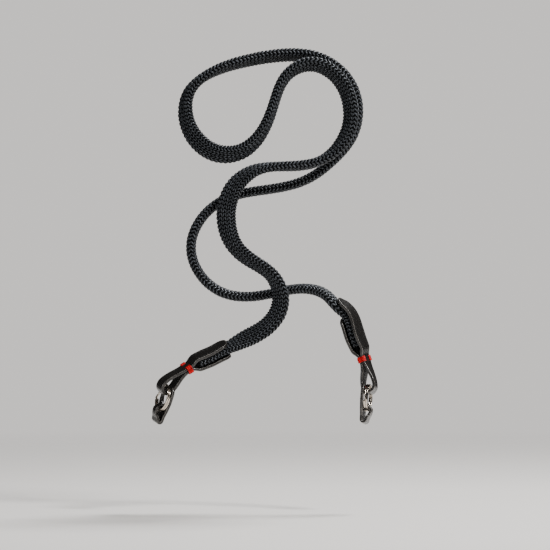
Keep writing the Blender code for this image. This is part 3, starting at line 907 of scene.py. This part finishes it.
def strip_line(route, side):
    """The folded strip from tip to tip: points, axes, widths, and lengths beyond the neck."""
    inner_rows, outer_rows, fold_rows, passes = 90, 100, 27, 3
    outer_length = TAIL_LENGTH + ENDS[side]["tongue"]
    inner, inner_widths, inner_beyond = layer_line(route, side, -1.0, TAIL_LENGTH, inner_rows)
    outer, outer_widths, outer_beyond = layer_line(route, side, 1.0, outer_length, outer_rows)
    middle, tangents, normals, across = (rows[0] for rows in route.from_end(side, 0.0))
    away = -tangents if side == "left" else tangents
    radius = eye_bore() + LEATHER / 2.0
    reach = radius + EYE_SLACK
    turns = np.linspace(0.0, pi, fold_rows)[1:-1]
    fold = np.array([middle + away * (reach * sin(t)) - normals * (radius * cos(t)) for t in turns])
    points = np.vstack((inner[::-1], fold, outer))
    widths = np.concatenate((inner_widths[::-1], [EYE_WIDTH] * len(fold), outer_widths))
    sides = np.tile(across, (len(points), 1))
    for first, last in ((0, len(inner)), (len(points) - len(outer), len(points))):
        gaps = np.linalg.norm(route.table[None, :, :3] - points[first:last, None, :], axis=2)
        sides[first:last] = route.table[np.argmin(gaps, axis=1), 9:12]
    for _ in range(passes):
        sides[1:-1] = (sides[:-2] + sides[1:-1] + sides[2:]) / 3.0
    along = unit(np.gradient(points, axis=0))
    sides = unit(sides - along * np.sum(sides * along, axis=1)[:, None])
    faces = np.cross(along, sides)
    if faces[len(inner) + len(fold) // 2] @ away < 0.0:
        faces, sides = -faces, -sides
    beyond = np.concatenate((inner_beyond[::-1], np.full(len(fold), -1.0), outer_beyond))
    ends = ((inner, TAIL_LENGTH), (fold, 0.0), (outer, outer_length))
    lengths = np.concatenate([np.full(len(part), length) for part, length in ends])
    return points, sides, faces, widths, beyond, lengths


def make_leather(side, strip, material):
    """The folded strip of one end, with rounded edges and seam grooves in its tails."""
    points, sides, faces, widths, beyond, lengths = strip
    tip_rows, narrow = 3, 0.006
    run = running_length(points)
    # The cut edges wander by about a tenth of a millimetre, on two wavelengths
    wander = 0.00007 * np.sin(run * 900.0) + 0.00005 * np.sin(run * 2300.0 + 1.0)
    cut_widths = widths + wander * (widths > narrow)
    seams = smooth_step((beyond - SEAM_START) / SEAM_FADE_IN)
    seams = seams * smooth_step((lengths - SEAM_END - beyond) / SEAM_FADE_OUT)
    rings, edges = [], []
    for point, across, face, width, seam in zip(points, sides, faces, cut_widths, seams):
        outline = full_section(width, seam)
        rings.append([point + across * u + face * v for u, v, _ in outline])
        edges += [burnish for _, _, burnish in outline]
    parts = Parts()
    parts.add(rings)
    thing = parts.build(f"leather_{side}", material, sharp=50.0)
    tips = np.zeros(len(points))
    tips[:tip_rows] = tips[-tip_rows:] = 1.0
    edges = np.maximum(edges, np.repeat(tips, len(rings[0])))
    set_attribute(thing, "edge", np.clip(edges, 0.0, 1.0))
    face_out(thing)
    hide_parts(f"leather_end_{side}")


def make_stitches(side, strip, material):
    """Saddle stitches sunk in the grooves of both tails."""
    points, sides, faces, widths, beyond, lengths = strip
    stitch_sides = 8
    middle = len(points) // 2
    lean = np.linspace(-STITCH_LEAN, STITCH_LEAN, len(STITCH_STATIONS))
    parts = Parts()
    for tail in (slice(0, middle), slice(middle, len(points))):
        order = np.argsort(beyond[tail])
        known = beyond[tail][order]
        length = lengths[tail][order][-1]
        rows = np.column_stack((points, faces, sides, widths))[tail][order]
        for start in np.arange(STITCH_MARGIN, length - STITCH_MARGIN, STITCH_PITCH):
            here = follow(start + STITCH_STATIONS * STITCH_LENGTH, known, rows)
            line, out, across, width = here[:, 0:3], here[:, 3:6], here[:, 6:9], here[:, 9]
            height = (LEATHER / 2.0 + STITCH_SINK)[:, None]
            for edge in (1.0, -1.0):
                inset = (width / 2.0 - SEAM_INSET + lean) * edge
                stitch = line + across * inset[:, None] + out * height
                thick = STITCH_RADIUS * STITCH_SWELL
                parts.add(tube_rings(stitch, thick, stitch_sides, out[2]))
    thing = parts.build(f"seam_stitches_{side}", material, sharp=70.0)
    face_out(thing)


# Thread


def wrap_line():
    """One turn of thread round the leather's edge and back into it, as places outward and up."""
    reach = layer_width(0.0) / 2.0
    inner = reach - BINDING_LEG
    height = LEATHER + FIT_GAP + THREAD / 2.0
    bulge = reach + FIT_GAP + THREAD / 2.0
    sunk = ((-0.0003, -0.0010), (-0.00008, -0.0003), (0.0003, -0.00002))
    line = [(inner + aside, height + down) for aside, down in sunk]
    bend_points = 7
    for angle in np.linspace(pi / 2.0, 0.0, bend_points):
        u = bulge + THREAD_ROUNDING * (cos(angle) - 1.0)
        line.append((u, height + THREAD_ROUNDING * (sin(angle) - 1.0)))
    return line + [(u, -v) for u, v in line[::-1]]


def make_wraps(route, side, edge, material):
    """Turns of thread laid side by side over one edge of the neck, their ends in the leather."""
    middle, tangent, normal, across = (rows[0] for rows in route.from_end(side, route.neck[side]))
    out = across if edge == "front" else -across
    corners = np.array(wrap_line())
    count = len(corners)
    slant = np.linspace(-0.5, 0.5, count) * THREAD_SLANT
    thread_rows = 46
    fine = np.linspace(0.0, count - 1.0, thread_rows)
    parts = Parts()
    for turn in range(THREAD_TURNS):
        shift = (turn - (THREAD_TURNS - 1) / 2.0) * THREAD_PITCH
        shift += rng.normal(0.0, THREAD_SHIFT)
        u, v = corners.T * (1.0 + rng.normal(0.0, THREAD_GROW))
        line = middle + np.outer(u, out) + np.outer(v, normal) + np.outer(shift + slant, tangent)
        line = follow(fine, np.arange(count), line)
        parts.add(tube_rings(line, THREAD * 0.5, THREAD_SIDES, tangent))
    thing = parts.build(f"thread_{side}_{edge}", material, sharp=80.0)
    along = np.repeat(np.linspace(0.0, THREAD_RUN, len(fine)), THREAD_SIDES)
    around = np.tile(np.arange(THREAD_SIDES) / THREAD_SIDES, len(fine))
    set_attribute(thing, "thread_along", np.tile(along, THREAD_TURNS))
    set_attribute(thing, "thread_round", np.tile(around, THREAD_TURNS))
    set_attribute(thing, "thread_own", np.repeat(np.arange(THREAD_TURNS), len(along)))
    face_out(thing)
    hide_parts(f"binding_{side}_{edge}")


# Rings and guards


def seat_matrix(side):
    """Columns: the ring's axis, its front and its top."""
    axis, _, up = ring_axes(side)
    return np.array((axis, np.cross(up, axis), up)).T


def make_ring(side, material):
    """Two turns of wire side by side, joined by a short step, with filed ends."""
    rows, sides = 420, 16
    pitch = RING_WIRE + RING_TURN_GAP
    angles = np.linspace(RING_STEP_ANGLE, 4.0 * pi - RING_STEP_ANGLE, rows)
    moved = smooth_step((angles - 2.0 * pi + RING_STEP_ANGLE) / (2.0 * RING_STEP_ANGLE))
    spokes = np.stack((np.zeros(rows), np.cos(angles), np.sin(angles)), axis=1)
    axle = np.array((1.0, 0.0, 0.0))
    centres = spokes * ring_radius() + axle * (pitch * (moved - 0.5))[:, None]
    turn = np.linspace(0.0, 2.0 * pi, sides, endpoint=False) + pi / sides
    u, v = squared_circle(turn, WIRE_SQUARENESS)
    u, v = u * RING_WIRE / 2.0, v * RING_WIRE / 2.0
    from_end = np.minimum(np.arange(rows), rows - 1 - np.arange(rows))
    taper = 1.0 - FILED_SHARE * np.clip(1.0 - from_end / FILED_ROWS, 0.0, 1.0) ** 2
    rings = centres[:, None, :] + (axle * u[:, None])[None] * taper[:, None, None]
    rings = rings + spokes[:, None, :] * (v[None, :] * taper[:, None])[:, :, None]
    rings = rings @ seat_matrix(side).T + ring_centre(side)
    parts = Parts()
    parts.add(rings)
    thing = parts.build(f"ring_{side}", material, sharp=50.0)
    set_attribute(thing, "wire_along", np.repeat(angles * ring_radius(), sides))
    set_attribute(thing, "wire_round", np.tile(np.arange(sides) / sides, rows))
    face_out(thing)
    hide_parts(f"split_ring_{side}")


def make_guard(side, material):
    """The guard's own solid with its edges rounded; its cut faces are marked for the material."""
    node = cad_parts[f"ring_guard_{side}"]
    thing = bpy.data.objects.new(f"guard_{side}", node.data.copy())
    bpy.context.scene.collection.objects.link(thing)
    remesh = thing.modifiers.new("Even", "REMESH")
    remesh.mode = "VOXEL"
    remesh.voxel_size = GUARD_VOXEL
    smooth = thing.modifiers.new("Soft", "SMOOTH")
    smooth.iterations = GUARD_PASSES
    smooth.factor = 0.5
    graph = bpy.context.evaluated_depsgraph_get()
    even = bpy.data.meshes.new_from_object(thing.evaluated_get(graph))
    thing.modifiers.clear()
    thing.data = even
    even.name = thing.name
    even.materials.clear()
    even.materials.append(material)
    even.shade_smooth()
    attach(thing, "root")
    axes = seat_matrix(side)
    normals = np.array([v.normal for v in even.vertices]) @ axes
    local = (np.array([v.co for v in even.vertices]) - ring_centre(side)) @ axes
    # The strip's cut sides face the ring's front and back, and the horns' also up and down
    cut = np.abs(normals[:, 1])
    horn = (local[:, 0] > HORN_FROM) & (local[:, 2] > HORN_ABOVE)
    cut = np.where(horn, np.hypot(cut, normals[:, 2]), cut)
    # At the rounded corners this value gives the pale band of wear and painted highlight
    set_attribute(thing, "edge", np.clip(cut * 1.25 - 0.25, 0.0, 1.0))
    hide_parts(f"ring_guard_{side}")


# Stage, light and camera


def area_light(name, place, size, power, colour):
    """A round soft light that points at the strap's middle."""
    light = bpy.data.lights.new(name, "AREA")
    light.shape = "DISK"
    light.size = size
    light.energy = power
    light.color = colour
    lamp = bpy.data.objects.new(name, light)
    lamp.location = place
    lamp.rotation_euler = (Vector(LIGHT_AIM) - Vector(place)).to_track_quat("-Z", "Y").to_euler()
    bpy.context.scene.collection.objects.link(lamp)


def make_surroundings():
    """Pale surroundings that look bright to the camera and light the strap only dimly."""
    world = bpy.data.worlds.new("pale_room")
    world.use_nodes = True
    background = world.node_tree.nodes["Background"]
    background.inputs["Color"].default_value = PALE
    seen = world.node_tree.nodes.new("ShaderNodeLightPath").outputs["Is Camera Ray"]
    glow = world.node_tree.nodes.new("ShaderNodeMapRange")
    glow.inputs["To Min"].default_value = 0.06
    glow.inputs["To Max"].default_value = 1.05
    world.node_tree.links.new(seen, glow.inputs["Value"])
    world.node_tree.links.new(glow.outputs["Result"], background.inputs["Strength"])
    bpy.context.scene.world = world


def make_floor():
    """A round pale floor that fades into the surroundings."""
    n = Nodes("pale_floor", Base_Color=PALE, Roughness=0.75)
    away = n.add("VectorMath", n.object_points(), operation="LENGTH").outputs["Value"]
    fade = n.ramp(n.math("DIVIDE", away, FLOOR_RADIUS), (0.05, 0.0), (0.22, 1.0))
    clear = n.add("BsdfTransparent").outputs[0]
    mixed = n.add("MixShader", fade, n.shader.outputs[0], clear).outputs[0]
    n.put(n.tree.nodes["Material Output"].inputs["Surface"], mixed)
    count = 96
    angles = np.linspace(0.0, 2.0 * pi, count, endpoint=False)
    rim = [(FLOOR_RADIUS * cos(a), FLOOR_RADIUS * sin(a), 0.0) for a in angles]
    mesh = bpy.data.meshes.new("floor")
    mesh.from_pydata(rim, [], [tuple(range(count))])
    mesh.materials.append(n.material)
    floor = bpy.data.objects.new("floor", mesh)
    floor.location = FLOOR_PLACE
    bpy.context.scene.collection.objects.link(floor)


def make_stage():
    make_surroundings()
    make_floor()
    area_light("key", (0.95, -0.80, 1.20), 0.40, 30.0, (1.0, 0.99, 0.97))
    area_light("fill", (-1.20, -1.05, 0.60), 0.5, 6.0, (0.95, 0.98, 1.0))
    area_light("top", (0.55, 0.50, 1.35), 0.45, 26.0, (1.0, 1.0, 1.0))


def make_camera():
    """A camera level with the strap, straight in front of it."""
    data = bpy.data.cameras.new("camera")
    data.sensor_width = SENSOR_WIDTH
    data.lens = SENSOR_WIDTH * VIEW_DISTANCE / VIEW_WIDTH
    data.clip_end = 100.0
    camera = bpy.data.objects.new("camera", data)
    camera.location = (VIEW_CENTRE[0], -VIEW_DISTANCE, VIEW_CENTRE[1])
    camera.rotation_euler = (pi / 2.0, 0.0, 0.0)
    bpy.context.scene.collection.objects.link(camera)
    bpy.context.scene.camera = camera


def main():
    make_camera()
    make_stage()
    route = Route()
    outline = rope_perimeter()
    start, end = make_core(route, outline, core_material())
    yarn = yarn_material()
    for slant in (1.0, -1.0):
        make_floats(route, outline, slant, yarn, start, end)
    leather, seam = leather_material(), black_thread_material()
    red, steel = thread_material(), steel_material()
    for side in ("left", "right"):
        strip = strip_line(route, side)
        make_leather(side, strip, leather)
        make_stitches(side, strip, seam)
        for edge in ("front", "back"):
            make_wraps(route, side, edge, red)
        make_ring(side, steel)
        make_guard(side, leather)


main()
